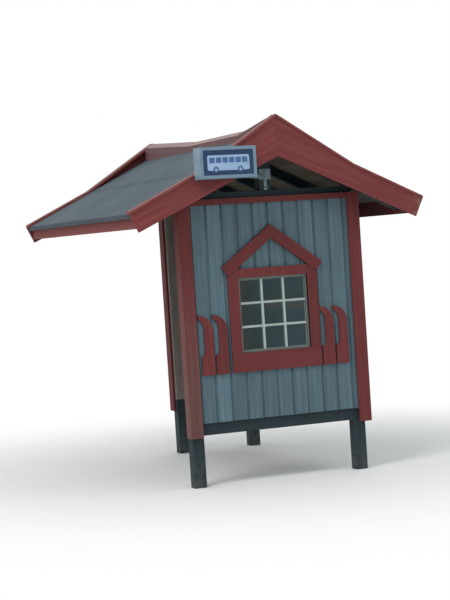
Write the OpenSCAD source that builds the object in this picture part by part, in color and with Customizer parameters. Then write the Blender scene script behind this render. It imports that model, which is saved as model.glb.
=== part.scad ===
// Small roadside bus shelter in timber: a board-clad room on legs, open at the front and at
// half of the far end, under a gable roof with wide bargeboards and a sign at the near gable.
// X runs across the near wall, the front being at low X, Y runs along the ridge away from the
// near wall, and Z is up. The origin is on the ground under the middle of the whole shelter.

/* [Plan] */
// Distance between the outer faces of the front and back posts
frame_w = 1440; // [1200:10:2000]
// Distance between the outer faces of the near and far posts
frame_d = 2250; // [1800:10:3000]
// Place of the middle far post across the shelter, from under the ridge
mid_post_x = 0; // [-150:5:150]

/* [Posts and beams] */
// Side of the square posts and beams
post_w = 95; // [80:1:120]
// Height of the underside of the sill beams over the ground
sill_z = 390; // [250:5:500]
// Depth of the sill beams
sill_h = 120; // [90:5:160]
// Depth of the top beams
plate_h = 95; // [80:5:140]
// Length of the seat that each rafter cuts into a plate
rafter_seat = 50; // [30:2:70]
// Thickness of the rails and studs that the boards are nailed to
rail_t = 45; // [35:1:50]
// Depth of the rails and width of the studs
rail_h = 70; // [50:2:95]
// Height of the middle rail of the back and far walls
rail_z = 1240; // [900:10:1500]

/* [Walls] */
// Thickness of the wall boards
board_t = 20; // [16:1:28]
// Height of the lower edge of the boards
wall_z = 480; // [430:5:500]
// How far the boards reach up over the undersides of the plates
wall_lap = 46; // [20:1:50]
// Thickness of the trim boards
trim_t = 20; // [14:1:28]
// Width of the corner boards
corner_w = 100; // [80:1:130]
// Height of the lower end of the corner boards
corner_z = 375; // [300:5:450]
// Depth of the band along the top of the boards
top_band_h = 45; // [30:1:80]

/* [Window] */
// Width of the window opening
window_w = 565; // [400:5:700]
// Height of the window opening
window_h = 565; // [400:5:600]
// Height of the lower edge of the window opening
window_z = 985; // [900:5:1050]
// Width of the frame members
sash_w = 15; // [10:1:35]
// Depth of the window frame
sash_t = 40; // [30:1:50]
// Thickness of the glass
glass_t = 4; // [3:0.5:8]
// How far the glass goes into the frame
glass_bite = 6; // [3:1:12]
// Width of the side casings
casing_w = 85; // [50:1:100]
// Depth of the head casing
head_h = 70; // [40:1:90]
// Depth of the band under the window
band_h = 145; // [100:5:200]

/* [Window hood] */
// Height of the hood's peak
hood_z = 1945; // [1900:5:2000]
// Half of the hood's span
hood_half = 415; // [380:5:500]
// Slope of the hood in degrees
hood_slope = 36.5; // [25:0.5:45]
// Width of the hood boards
hood_w = 85; // [60:1:95]
// How far the hood boards stand in front of the casing
hood_proud = 8; // [0:1:20]

/* [Pickets] */
// Width of a picket over its shoulder
picket_w = 70; // [50:1:80]
// Distance from picket to picket
picket_pitch = 115; // [105:1:130]
// Gap between the feet of two pickets
foot_gap = 13; // [6:1:25]
// Height of the picket tops
picket_top = 1290; // [1200:5:1400]
// Gap on the left of each picket, and the reach of its crook over it
picket_gap = 46; // [35:1:55]
// Gap between the casing and the picket on its left
picket_lead = 30; // [5:1:40]
// Depth of the crook at its tip
crook_tip = 30; // [15:1:45]

/* [Roof] */
// Height of the roofing at the ridge
ridge_z = 2632; // [2500:5:2900]
// Slope of the roof in degrees
roof_slope = 25.4; // [20:0.1:32]
// Distance from the ridge to the edge of the roofing, level
eave_half = 1175; // [1000:5:1400]
// How far the roof boards and roofing reach past the fascia
eave_drip = 35; // [15:1:60]
// Overhang from the near posts to the front of the near bargeboards
near_over = 280; // [200:2:400]
// Overhang from the far posts to the back of the far bargeboards
far_over = 328; // [200:2:400]
// Width of a rafter
rafter_w = 45; // [35:1:60]
// Depth of a rafter, across its slope
rafter_h = 75; // [65:1:120]
// Number of rafter pairs between the end walls
mid_rafters = 2; // [1:1:4]
// Thickness of the roof boarding
deck_t = 20; // [16:1:28]
// Thickness of the roofing felt
felt_t = 4; // [3:0.5:8]
// Depth of the roofing turned down over the edge of the boarding
felt_drop = 36; // [24:1:60]
// Width of the ridge beam
ridge_beam_w = 45; // [35:1:70]
// Depth of the ridge beam
ridge_beam_h = 120; // [90:1:160]

/* [Roof trim] */
// Thickness of the bargeboards and fascias
barge_t = 22; // [18:1:30]
// Depth of the bargeboards across their slope, at the eaves
barge_h = 147; // [120:1:220]
// Depth of the bargeboards under the roofing at the ridge
barge_root = 190; // [150:1:240]
// How far the bargeboard peak rises over the roofing
barge_rise = 100; // [60:1:160]
// Level distance from the ridge to where the bargeboards start to widen
barge_kink = 620; // [500:5:900]
// How far the bargeboards reach past the edge of the roofing
barge_past = 15; // [0:1:40]
// Depth of the fascias
fascia_h = 102; // [80:1:150]
// Width of the verge caps
cap_w = 100; // [45:1:130]
// Thickness of the verge caps
cap_t = 20; // [14:1:28]
// How far the verge caps stand in front of the bargeboards
cap_proud = 8; // [0:1:20]
// Half of the ridge cap's width, level
ridge_cap_half = 75; // [50:1:120]
// Height of the ridge cap over the roofing, across its slope
ridge_cap_t = 45; // [30:1:60]
// Length of the upswept end of the ridge cap behind the near gable
near_sweep = 500; // [300:10:900]
// Length of the upswept end of the ridge cap before the far gable
far_sweep = 1100; // [300:10:1200]

/* [Sign] */
// Width of the sign
sign_w = 440; // [300:5:600]
// Height of the sign
sign_h = 230; // [200:5:320]
// Depth of the sign's case
sign_t = 135; // [60:5:160]
// Place of the sign's middle across the shelter
sign_x = -460; // [-500:5:-350]
// Depth of the sign's middle under the ridge
sign_drop = 228; // [200:2:260]
// Gap between the bargeboards and the sign
sign_gap = 15; // [15:5:100]
// Width of the rim round the sign's face
sign_rim = 24; // [10:1:40]
// Thickness of the sign's case and face plate
sheet_t = 3; // [2:0.5:6]
// Side of the square tube of the sign's arm
arm_w = 30; // [20:1:40]
// Thickness of the plate that holds the arm
arm_plate_t = 6; // [4:1:10]
// Height of the plate and its strap together
arm_plate_h = 160; // [120:5:200]
// Width of the strap that runs down from the plate
strap_w = 25; // [20:1:60]

/* [Hidden] */
$fn = 48;
tan_r = tan(roof_slope);
cos_r = cos(roof_slope);
half_w = frame_w / 2;
near_reach = near_over + sign_gap + sign_t;
near_y = -(frame_d + far_over + cap_proud - near_reach) / 2;
far_y = near_y + frame_d;
wall_out = board_t + trim_t;
barge_near_y = near_y - near_over;
barge_far_y = far_y + far_over;
deck_near_y = barge_near_y + barge_t;
deck_far_y = barge_far_y - barge_t;
deck_len = deck_far_y - deck_near_y;
deck_top = ridge_z - felt_t / cos_r;
rafter_top = deck_top - deck_t / cos_r;
rafter_low = rafter_top - rafter_h / cos_r;
fascia_x = eave_half - eave_drip;
tail_x = fascia_x - barge_t;
plate_top = rafter_low - (half_w - rafter_seat) * tan_r;
plate_z = plate_top - plate_h;
wall_top = plate_z + wall_lap;
lap_z = plate_z + plate_h / 2;
inner_x = half_w - post_w;
inner_near_y = near_y + post_w;
inner_far_y = far_y - post_w;
back_x = half_w + wall_out;
front_x = -half_w - trim_t;
mid_left = mid_post_x - post_w / 2;
mid_right = mid_post_x + post_w / 2;
window_top = window_z + window_h;
band_z = window_z - band_h;
casing_out = window_w / 2 + casing_w;
tan_h = tan(hood_slope);
hood_drop = hood_w / cos(hood_slope);
sign_y = barge_near_y - sign_gap;
ridge_beam_z = rafter_top - ridge_beam_h;

red = "#8a4240";
boards = "#5c6b72";
dark = "#2f3a40";

// Box between two corners
module span(a, b) {
    translate(a)
        cube(b - a);
}

// Outline in the XZ plane, as thick as y1 - y0 along Y
module slab_y(y0, y1) {
    translate([0, y1, 0])
        rotate([90, 0, 0])
            linear_extrude(y1 - y0)
                children();
}

// Height of a sloping roof line at the level distance x from the ridge
function roof_at(z, x) = z - x * tan_r;

// Whole outline from its back half, whose first and last points are over and under the ridge
module gable(half) {
    polygon(concat(half, [for (i = [len(half) - 2 : -1 : 1]) [-half[i][0], half[i][1]]]));
}

// Back half of a layer on the slopes, from the ridge to x = reach, with plumb ends
function layer(top, thick, reach) = [
    [0, top],
    [reach, roof_at(top, reach)],
    [reach, roof_at(top, reach) - thick / cos_r],
    [0, top - thick / cos_r]
];

// Copy on the front slope, which is the mirror of the back slope
module front_side() {
    mirror([1, 0, 0])
        children();
}

module post(x, y, top) {
    color(dark)
        span([x - post_w / 2, y - post_w / 2, 0], [x + post_w / 2, y + post_w / 2, top]);
}

module post_near_front() post(-half_w + post_w / 2, near_y + post_w / 2, plate_z);
module post_near_back() post(half_w - post_w / 2, near_y + post_w / 2, plate_z);
module post_far_back() post(half_w - post_w / 2, far_y - post_w / 2, plate_z);
module post_far_middle() post(mid_post_x, far_y - post_w / 2, plate_z);

module sill_near() {
    color(dark)
        span([-inner_x, near_y, sill_z], [inner_x, inner_near_y, sill_z + sill_h]);
}

module sill_back() {
    color(dark)
        span([inner_x, inner_near_y, sill_z], [half_w, inner_far_y, sill_z + sill_h]);
}

module sill_far() {
    color(dark)
        span([mid_right, inner_far_y, sill_z], [inner_x, far_y, sill_z + sill_h]);
}

// Beam across an end, with its lower half kept under each plate
module tie(y0) {
    color(dark)
        difference() {
            span([-half_w, y0, plate_z], [half_w, y0 + post_w, plate_top]);
            for (x = [-half_w - 1, inner_x])
                span([x, y0 - 1, lap_z], [x + post_w + 1, y0 + post_w + 1, plate_top + 1]);
        }
}

module tie_near() tie(near_y);
module tie_far() tie(inner_far_y);

// Beam along an eave, with its upper half kept over each tie
module plate_back() {
    color(dark)
        difference() {
            span([inner_x, near_y, plate_z], [half_w, far_y, plate_top]);
            for (y = [near_y - 1, inner_far_y])
                span([inner_x - 1, y, plate_z - 1], [half_w + 1, y + post_w + 1, lap_z]);
        }
}

module plate_front() front_side() plate_back();

// Rails under and over the window, tied by a stud at each side of it
module window_framing() {
    stud_x = window_w / 2;
    color(dark) {
        for (z = [window_z - rail_h, window_top])
            span([-inner_x, near_y, z], [inner_x, near_y + rail_t, z + rail_h]);
        for (x = [-stud_x - rail_t, stud_x])
            span([x, near_y, window_z], [x + rail_t, near_y + rail_t, window_top]);
    }
}

// Middle rails of the back and far walls, with a post between them
module wall_rails() {
    color(dark) {
        span([half_w - rail_t, inner_near_y, rail_z], [half_w, inner_far_y, rail_z + rail_h]);
        span([mid_right, far_y - rail_t, rail_z], [inner_x, far_y, rail_z + rail_h]);
    }
}

// Short posts from the ties up to the ridge beam
module king_posts() {
    color(dark)
        for (y = [near_y, inner_far_y])
            span([-post_w / 2, y, plate_top], [post_w / 2, y + post_w, ridge_beam_z]);
}

// The beam's top is bevelled to the slopes
module ridge_beam() {
    half = ridge_beam_w / 2;
    color(dark)
        slab_y(deck_near_y, deck_far_y)
            polygon([
                [-half, ridge_beam_z],
                [half, ridge_beam_z],
                [half, roof_at(rafter_top, half)],
                [0, rafter_top],
                [-half, roof_at(rafter_top, half)]
            ]);
}

// Rafter outline with its level seat and plumb heel cut at the plate
module rafter_outline() {
    x0 = ridge_beam_w / 2;
    polygon([
        [x0, roof_at(rafter_top, x0)],
        [tail_x, roof_at(rafter_top, tail_x)],
        [tail_x, roof_at(rafter_low, tail_x)],
        [half_w, roof_at(rafter_low, half_w)],
        [half_w, plate_top],
        [half_w - rafter_seat, plate_top],
        [x0, roof_at(rafter_low, x0)]
    ]);
}

// One pair of rafters at each end wall, some between them, and one behind each pair of bargeboards
module rafters() {
    first = near_y;
    step = (frame_d - rafter_w) / (mid_rafters + 1);
    places = concat(
        [deck_near_y, deck_far_y - rafter_w],
        [for (i = [0 : mid_rafters + 1]) first + i * step]
    );
    color(dark)
        for (y = places)
            slab_y(y, y + rafter_w) {
                rafter_outline();
                mirror([1, 0])
                    rafter_outline();
            }
}

module roof_boards_back() {
    color("#6b5a4c")
        slab_y(deck_near_y, deck_far_y)
            polygon(layer(deck_top, deck_t, eave_half - felt_t));
}

module roof_boards_front() front_side() roof_boards_back();

// One layer over both slopes, turned down over the edges of the boarding
module felt() {
    edge_z = roof_at(ridge_z, eave_half);
    deck_x = eave_half - felt_t;
    color("#68727a")
        slab_y(deck_near_y, deck_far_y)
            gable([
                [0, ridge_z],
                [eave_half, edge_z],
                [eave_half, edge_z - felt_drop],
                [deck_x, edge_z - felt_drop],
                [deck_x, roof_at(deck_top, deck_x)],
                [0, deck_top]
            ]);
}

// Points along the upper edge of a bargeboard, from the peak to the eave
barge_tip_x = eave_half + barge_past;
barge_edge = [
    [0, ridge_z + barge_rise],
    [barge_kink, roof_at(ridge_z, barge_kink)],
    [barge_tip_x, roof_at(ridge_z, barge_tip_x)]
];

// The board widens to the peak, where its upper edge steepens, and its end is cut square
module barge_outline() {
    polygon([
        barge_edge[0],
        barge_edge[1],
        barge_edge[2],
        barge_edge[2] - barge_h * [sin(roof_slope), cos_r],
        [0, ridge_z - barge_root]
    ]);
}

module bargeboard_near_back() {
    color(red)
        slab_y(barge_near_y, barge_near_y + barge_t)
            barge_outline();
}

module bargeboard_near_front() front_side() bargeboard_near_back();

module bargeboard_far_back() {
    color(red)
        slab_y(deck_far_y, barge_far_y)
            barge_outline();
}

module bargeboard_far_front() front_side() bargeboard_far_back();

// Height of the verge caps over the bargeboards, at the peak
peak_cap = cap_t * sqrt(1 + pow((barge_edge[0][1] - barge_edge[1][1]) / barge_kink, 2));

// Cap over the upper edges of a pair of bargeboards
module verge_cap(y0) {
    color(red)
        slab_y(y0, y0 + cap_w)
            gable([
                barge_edge[0] + [0, peak_cap],
                barge_edge[1] + [0, cap_t / cos_r],
                barge_edge[2] + [0, cap_t / cos_r],
                barge_edge[2],
                barge_edge[1],
                barge_edge[0]
            ]);
}

module verge_cap_near() verge_cap(barge_near_y - cap_proud);
module verge_cap_far() verge_cap(barge_far_y + cap_proud - cap_w);

ridge_cap_top = ridge_z + ridge_cap_t / cos_r;
// How far the cap's ends stay under the peaks of the verge caps
peak_dip = 5;
sweep_rise = ridge_z + barge_rise + peak_cap - peak_dip - ridge_cap_top;
// The volumes of the two sweeps reach past the cap's sides, each by its own amount, and are trimmed
near_sweep_reach = 2.2 * ridge_cap_half;
far_sweep_reach = 2.4 * ridge_cap_half;

// Volume under an upswept end of the ridge cap, whose foot is at y = foot_y
module sweep(length, foot_y, side, wide) {
    translate([0, foot_y, ridge_cap_top])
        rotate([side * atan(sweep_rise / length), 0, 0])
            slab_y(side > 0 ? -ridge_cap_t : -1.5 * length, side > 0 ? 1.5 * length : ridge_cap_t)
                gable(layer(0, 4 * ridge_cap_t, wide));
}

// Cap on the roofing along the ridge, swept up at both ends to the verge caps' peaks
module ridge_boards() {
    near_end = barge_near_y - cap_proud + cap_w;
    far_end = barge_far_y + cap_proud - cap_w;
    color(red)
        difference() {
            intersection() {
                union() {
                    slab_y(near_end - cap_w, far_end + cap_w)
                        gable(layer(ridge_cap_top, 3 * ridge_cap_t, 2 * ridge_cap_half));
                    sweep(near_sweep, near_end + near_sweep, -1, near_sweep_reach);
                    sweep(far_sweep, far_end - far_sweep, 1, far_sweep_reach);
                }
                span(
                    [-ridge_cap_half, near_end, ridge_z - 2 * ridge_cap_half],
                    [ridge_cap_half, far_end, ridge_z + 4 * ridge_cap_half]
                );
            }
            slab_y(deck_near_y - 1, deck_far_y + 1)
                gable(layer(ridge_z, 6 * ridge_cap_t, 4 * ridge_cap_half));
        }
}

// The fascia's top is bevelled to the boarding
module fascia_back() {
    low = roof_at(rafter_top, fascia_x) - fascia_h;
    color(red)
        slab_y(deck_near_y, deck_far_y)
            polygon([
                [tail_x, roof_at(rafter_top, tail_x)],
                [fascia_x, roof_at(rafter_top, fascia_x)],
                [fascia_x, low],
                [tail_x, low]
            ]);
}

module fascia_front() front_side() fascia_back();

// Boards of the near wall with the window cut through
module wall_near() {
    color(boards)
        difference() {
            span([-half_w, near_y - board_t, wall_z], [half_w + board_t, near_y, wall_top]);
            span([-window_w / 2, near_y - board_t - 1, window_z], [window_w / 2, near_y + 1, window_top]);
        }
}

module wall_back() {
    color(boards)
        span([half_w, near_y, wall_z], [half_w + board_t, far_y, wall_top]);
}

module wall_far() {
    color(boards)
        span([mid_left, far_y, wall_z], [half_w + board_t, far_y + board_t, wall_top]);
}

// Two boards round a corner: one on the end wall, one on the side
module corner(x_out, x_dir, y_out, y_dir) {
    color(red)
        translate([x_out, y_out, corner_z])
            scale([x_dir, y_dir, 1]) {
                cube([corner_w, trim_t, wall_top - corner_z]);
                cube([trim_t, corner_w, wall_top - corner_z]);
            }
}

near_out = near_y - wall_out;
far_out = far_y + wall_out;

module corner_near_front() corner(front_x, 1, near_out, 1);
module corner_near_back() corner(back_x, -1, near_out, 1);
module corner_far_back() corner(back_x, -1, far_out, -1);
module corner_far_middle() corner(mid_left - trim_t, 1, far_out, -1);

// Thin bands between the corner boards, along the top of the three walls
module top_bands() {
    z = wall_top - top_band_h;
    color(red) {
        span([front_x + corner_w, near_out, z], [back_x - corner_w, near_out + trim_t, wall_top]);
        span([back_x - trim_t, near_out + corner_w, z], [back_x, far_out - corner_w, wall_top]);
        span([mid_left - trim_t + corner_w, far_out - trim_t, z], [back_x - corner_w, far_out, wall_top]);
    }
}

// White frame in the opening, with a groove for the glass
module window_frame() {
    half = window_w / 2;
    inner = half - sash_w;
    glass_y = near_y - board_t + (sash_t - glass_t) / 2;
    color("#c8cfcc")
        difference() {
            span([-half, near_y - board_t, window_z], [half, near_y - board_t + sash_t, window_top]);
            span(
                [-inner, near_y - board_t - 1, window_z + sash_w],
                [inner, near_y + sash_t, window_top - sash_w]
            );
            glass_box(glass_y);
        }
}

module glass_box(y) {
    half = window_w / 2 - sash_w + glass_bite;
    span(
        [-half, y, window_z + sash_w - glass_bite],
        [half, y + glass_t, window_top - sash_w + glass_bite]
    );
}

module window_glass() {
    color("#3b4a49")
        glass_box(near_y - board_t + (sash_t - glass_t) / 2);
}

// Height of the hood's lower edge at the level distance x from its peak
function hood_low(x) = hood_z - hood_drop - x * tan_h;

// Side casings that run up under the hood, and the head between them
module window_casing() {
    half = window_w / 2;
    y0 = near_out - 1;
    color(red)
        difference() {
            slab_y(near_out, near_out + trim_t)
                gable([
                    [0, hood_low(0)],
                    [casing_out, hood_low(casing_out)],
                    [casing_out, window_z],
                    [0, window_z]
                ]);
            span([-half, y0, window_z - 1], [half, y0 + trim_t + 2, window_top]);
            span([-half, y0, window_top + head_h], [half, y0 + trim_t + 2, hood_z]);
        }
}

// Two raking boards with square ends
module window_hood() {
    end_z = hood_z - hood_half * tan_h;
    color(red)
        slab_y(near_out - hood_proud, near_out + trim_t)
            gable([
                [0, hood_z],
                [hood_half, end_z],
                [hood_half, end_z] - hood_w * [sin(hood_slope), cos(hood_slope)],
                [0, hood_z - hood_drop]
            ]);
}

module window_band() {
    color(red)
        span([-casing_out, near_out, band_z], [casing_out, near_out + trim_t, window_z]);
}

// Picket with a wide foot beside the band and a crook that bends over the gap on its left
module picket_outline() {
    reach = picket_gap + picket_w;
    spring = picket_top - reach;
    shoulder = picket_pitch - picket_w - foot_gap;
    bore_r = picket_gap * 1.6;
    bore_z = picket_top - crook_tip - sqrt(pow(bore_r, 2) - pow(picket_gap - bore_r, 2));
    difference() {
        translate([-shoulder, band_z])
            square([shoulder + picket_w, window_z + shoulder - band_z]);
        translate([-shoulder, window_z + shoulder])
            circle(shoulder, $fn = 64);
    }
    translate([0, window_z])
        square([picket_w, spring - window_z]);
    difference() {
        intersection() {
            translate([-picket_gap, spring])
                circle(reach, $fn = 96);
            translate([-picket_gap, spring])
                square(reach);
        }
        translate([-bore_r, bore_z])
            circle(bore_r, $fn = 96);
        translate([-picket_gap, spring - 1])
            square([picket_gap, bore_z - spring + 1]);
    }
}

// Pickets between the casings and the corner boards, all bending the same way
module pickets() {
    first = casing_out + picket_gap;
    last = -casing_out - picket_lead - picket_w;
    back_room = back_x - corner_w - first - picket_w;
    front_room = last - picket_gap - front_x - corner_w;
    places = concat(
        [for (i = [0 : 1 : floor(front_room / picket_pitch)]) last - i * picket_pitch],
        [for (i = [0 : 1 : floor(back_room / picket_pitch)]) first + i * picket_pitch]
    );
    color(red)
        slab_y(near_out, near_out + trim_t)
            for (x = places)
                translate([x, 0])
                    picket_outline();
}

sign_left = sign_x - sign_w / 2;
sign_right = sign_x + sign_w / 2;
sign_low = ridge_z - sign_drop - sign_h / 2;
sign_high = sign_low + sign_h;
sign_front = sign_y - sign_t;

// Sheet case with a rim round the opening for its face
module sign_case() {
    color("#a9b9d0")
        difference() {
            span([sign_left, sign_front, sign_low], [sign_right, sign_y, sign_high]);
            span(
                [sign_left + sheet_t, sign_front + sheet_t, sign_low + sheet_t],
                [sign_right - sheet_t, sign_y - sheet_t, sign_high - sheet_t]
            );
            span(
                [sign_left + sign_rim, sign_front - 1, sign_low + sign_rim],
                [sign_right - sign_rim, sign_front + sheet_t + 1, sign_high - sign_rim]
            );
        }
}

// Plate behind the rim
module sign_face() {
    color("#2b4468")
        span(
            [sign_left + sheet_t, sign_front + sheet_t, sign_low + sheet_t],
            [sign_right - sheet_t, sign_front + 2 * sheet_t, sign_high - sheet_t]
        );
}

// Square bar to the back of the case from a plate with a strap on the near king post
module sign_arm() {
    plate_y = near_y - arm_plate_t;
    plate_low = plate_top + arm_plate_h / 2;
    color("#9aa19c") {
        span([-post_w / 2, plate_y, plate_low], [post_w / 2, near_y, plate_top + arm_plate_h]);
        span([-strap_w / 2, plate_y, plate_top], [strap_w / 2, near_y, plate_low + arm_plate_t]);
        translate([0, 0, sign_low])
            linear_extrude(arm_w)
                polygon([
                    [-arm_w, plate_y + arm_plate_t / 2],
                    [sign_right - arm_w, sign_y],
                    [sign_right, sign_y],
                    [0, plate_y + arm_plate_t / 2]
                ]);
    }
}

post_near_front();
post_near_back();
post_far_back();
post_far_middle();
sill_near();
sill_back();
sill_far();
tie_near();
tie_far();
plate_front();
plate_back();
window_framing();
wall_rails();
king_posts();
ridge_beam();
rafters();
roof_boards_front();
roof_boards_back();
felt();
ridge_boards();
bargeboard_near_front();
bargeboard_near_back();
bargeboard_far_front();
bargeboard_far_back();
verge_cap_near();
verge_cap_far();
fascia_front();
fascia_back();
wall_near();
wall_back();
wall_far();
corner_near_front();
corner_near_back();
corner_far_back();
corner_far_middle();
top_bands();
window_frame();
window_glass();
window_casing();
window_hood();
window_band();
pickets();
sign_case();
sign_face();
sign_arm();
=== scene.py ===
import math
import random
from functools import partial

import bmesh
import bpy
from mathutils import Euler, Matrix, Quaternion, Vector, noise
from mathutils.bvhtree import BVHTree


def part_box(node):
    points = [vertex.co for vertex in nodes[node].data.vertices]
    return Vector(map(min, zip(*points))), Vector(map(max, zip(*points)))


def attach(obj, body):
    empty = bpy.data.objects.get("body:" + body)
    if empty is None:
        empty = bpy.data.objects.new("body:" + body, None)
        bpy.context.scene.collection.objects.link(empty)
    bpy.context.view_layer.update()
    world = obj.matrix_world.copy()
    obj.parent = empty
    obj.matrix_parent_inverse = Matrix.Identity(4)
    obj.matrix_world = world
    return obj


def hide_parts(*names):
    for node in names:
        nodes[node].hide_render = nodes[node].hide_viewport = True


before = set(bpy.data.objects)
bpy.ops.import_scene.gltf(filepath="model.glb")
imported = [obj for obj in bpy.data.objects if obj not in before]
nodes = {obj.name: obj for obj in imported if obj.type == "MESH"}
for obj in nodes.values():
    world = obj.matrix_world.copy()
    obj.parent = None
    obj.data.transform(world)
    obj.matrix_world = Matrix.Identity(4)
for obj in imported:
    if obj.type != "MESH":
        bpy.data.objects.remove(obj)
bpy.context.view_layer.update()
random.seed(11)

acrossX = Vector((1, 0, 0))
alongY = Vector((0, 1, 0))
upZ = Vector((0, 0, 1))


# Nodes and colours

def linearColour(code):  # sRGB hex to linear
    channels = [int(code[i:i + 2], 16) / 255 for i in (1, 3, 5)]
    return [c / 12.92 if c <= 0.04045 else ((c + 0.055) / 1.055) ** 2.4 for c in channels] + [1]


def feed(node, inputs):  # links or sets a node's inputs; a text is a colour in hex
    for socket, value in inputs.items():
        if isinstance(value, bpy.types.NodeSocket):
            node.id_data.links.new(value, node.inputs[socket])
        else:
            node.inputs[socket].default_value = linearColour(value) if isinstance(value, str) else value


# Sockets go by name or number. Mix: amount 0, colours 6 and 7, result 2. Map Range: value 0, the span it
# comes from in 1 and 2, and the span it goes to in 3 and 4, which is 0 to 1 where it isn't given.
def addNode(tree, kind, settings, inputs, output=0):  # a node with its settings and links; gives one output
    node = tree.nodes.new("ShaderNode" + kind)
    for name, value in settings.items():
        setattr(node, name, value)
    feed(node, inputs)
    return node.outputs[output]


def newMaterial(name, constants):
    material = bpy.data.materials.new(name)
    material.use_nodes = True
    skin = material.node_tree.nodes["Principled BSDF"]
    feed(skin, constants)
    add = partial(addNode, material.node_tree)
    return material, add, skin, add("TexCoord", {}, {}, "Object")


def perMetre(lengthMm, widthMm):  # how often a pattern of this real size comes in a metre
    return 1000 / lengthMm, 1000 / widthMm, 1


def blotches(place, sizeMm, detail):  # what a noise needs for marks of this real size
    return {"Vector": place, "Scale": 1000 / sizeMm, "Detail": detail}


soft = {"interpolation_type": "SMOOTHSTEP"}
coloured = {"data_type": "RGBA"}
multiply = {"operation": "MULTIPLY"}


# Timber finishes

# What a timber finish has unless it says otherwise.
plainTimber = {"sawMm": 0, "shine": 0.2, "spread": 0.12, "wear": 0.3, "bleachAndSkyHighlight": 0.0, "splash": 0.0}

# Alkyd paint brushed on planed pine: a chalky brick red that fades in long streaks and
# wears to grey wood along the edges.
redPaint = dict(
    plainTimber, name="brick-red alkyd paint on planed pine",
    body="#6f3231", faded="#7d403d", deep="#502021", bare="#746259",
    streakMm=(620, 26), grainMm=(170, 3.6), grainDepth=0.45, knots=0.35,
    roughness=0.64, bump=0.35, spread=0.09, wear=0.5, bleachAndSkyHighlight=0.5,
)

# The same paint on the walls under the roof: deeper and hardly faded, and darker still as painted shade of
# the roof.
shadedPaint = dict(
    redPaint, name="brick-red alkyd paint in the shade of the roof",
    body="#602929", faded="#6c3333", deep="#451b1d", bare="#655750", bleachAndSkyHighlight=0.1,
)

# The same paint on the corner by the road: paler and browner towards its foot, from dust and splashes.
dustyPaint = dict(
    shadedPaint, name="brick-red alkyd paint under road dust",
    body="#5f3e3b", faded="#6b4a47", deep="#452a28", bare="#6a605a",
)

# The same paint on the ridge, open to sun and rain: chalked to a dull brown-pink, pale grey on top from
# bleaching and a painted highlight of the sky.
chalkedPaint = dict(
    redPaint, name="brick-red alkyd paint chalked on the ridge",
    body="#66494a", faded="#745758", deep="#4a3334", bare="#998481", bleachAndSkyHighlight=0.8,
)

# Acrylic paint on sawn spruce: a cool blue-grey with a soft sheen and rougher, darker grain.
boardPaint = dict(
    plainTimber, name="blue-grey acrylic paint on sawn spruce",
    body="#4c616b", faded="#5c7079", deep="#384a53", bare="#676b68",
    streakMm=(700, 30), grainMm=(210, 4.2), grainDepth=0.5, knots=0.4,
    roughness=0.58, shine=0.25, bump=0.5,
)

# Dark oil stain on rough-sawn pine: almost black-blue, dry and grainy, paler where rain reaches.
darkStain = dict(
    plainTimber, name="dark oil stain on rough-sawn pine",
    body="#232f34", faded="#323e43", deep="#151e22", bare="#4c4b46",
    streakMm=(450, 20), grainMm=(150, 4.2), grainDepth=0.6, knots=0.5, sawMm=9,
    roughness=0.68, bump=0.6, wear=0.4, bleachAndSkyHighlight=0.3, splash=0.35,
)

# Bare pine under the eaves, never painted: a dry grey-brown with silver streaks.
greyWood = dict(
    plainTimber, name="bare sawn pine weathered grey",
    body="#766c66", faded="#898079", deep="#534a44", bare="#80786f",
    streakMm=(420, 18), grainMm=(160, 3.8), grainDepth=0.6, knots=0.7, sawMm=9,
    roughness=0.78, shine=0.15, bump=0.6, spread=0.1, wear=0.2,
)

# White linseed paint on pine window bars: an aged green-grey white with a soft gloss. The sash round them
# sits behind the casing, its white drawn grey as painted shade of the casing.
whitePaint = dict(
    plainTimber, name="white linseed paint on pine bars",
    body="#94a39e", faded="#a6b4af", deep="#7b8984", bare="#7c776d",
    streakMm=(200, 8), grainMm=(120, 2.5), grainDepth=0.3, knots=0.1,
    roughness=0.42, shine=0.5, bump=0.2, spread=0.04,
)
shadedSashPaint = dict(
    whitePaint, name="white linseed paint gone grey on the sash",
    body="#59625f", faded="#69726f", deep="#474f4c", bare="#5c5a54",
)

# Bare sawn boards under the roof: a grey-brown with darker latewood lines and water marks, drawn dim as
# painted shade under the roof.
brownBoards = dict(
    plainTimber, name="bare sawn spruce aged grey-brown",
    body="#544d44", faded="#675f54", deep="#38332c", bare="#69635a",
    streakMm=(380, 16), grainMm=(140, 3.8), grainDepth=0.6, knots=0.8, sawMm=8,
    roughness=0.8, shine=0.15, bump=0.6, spread=0.2, wear=0.2,
)


# What all the timber shares. A span is the two values of a pattern between which a mark sets in.
aging = {
    "fading": {1: 0.36, 2: 0.7},
    "latewood": {1: 0.5, 2: 0.74},
    "knotApartMm": 170,
    "knotDisc": {1: 0.085, 2: 0.045},
    "knotHeld": {1: 0.6, 2: 0.62},  # three cells of five hold no knot
    "brushMm": 30,
    "brushWaveMm": 12,  # how uneven the line is where one finish ends on another
    "chipMm": 26,
    "chipping": {1: 0.5, 2: 0.62},
    "skyward": {1: 0.3, 2: 0.9},
    "splashed": {1: 0.26, 2: 0.02},  # heights over the ground
    "dropMm": 60,
    "dropping": {1: 0.35, 2: 0.6},
    "soil": "#5f6058",
    "drying": {1: 0.3, 2: 0.7, 3: -0.07, 4: 0.1},  # change of roughness
    "sawDepth": 0.3,
    "reliefMm": 0.8,
}


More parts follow.
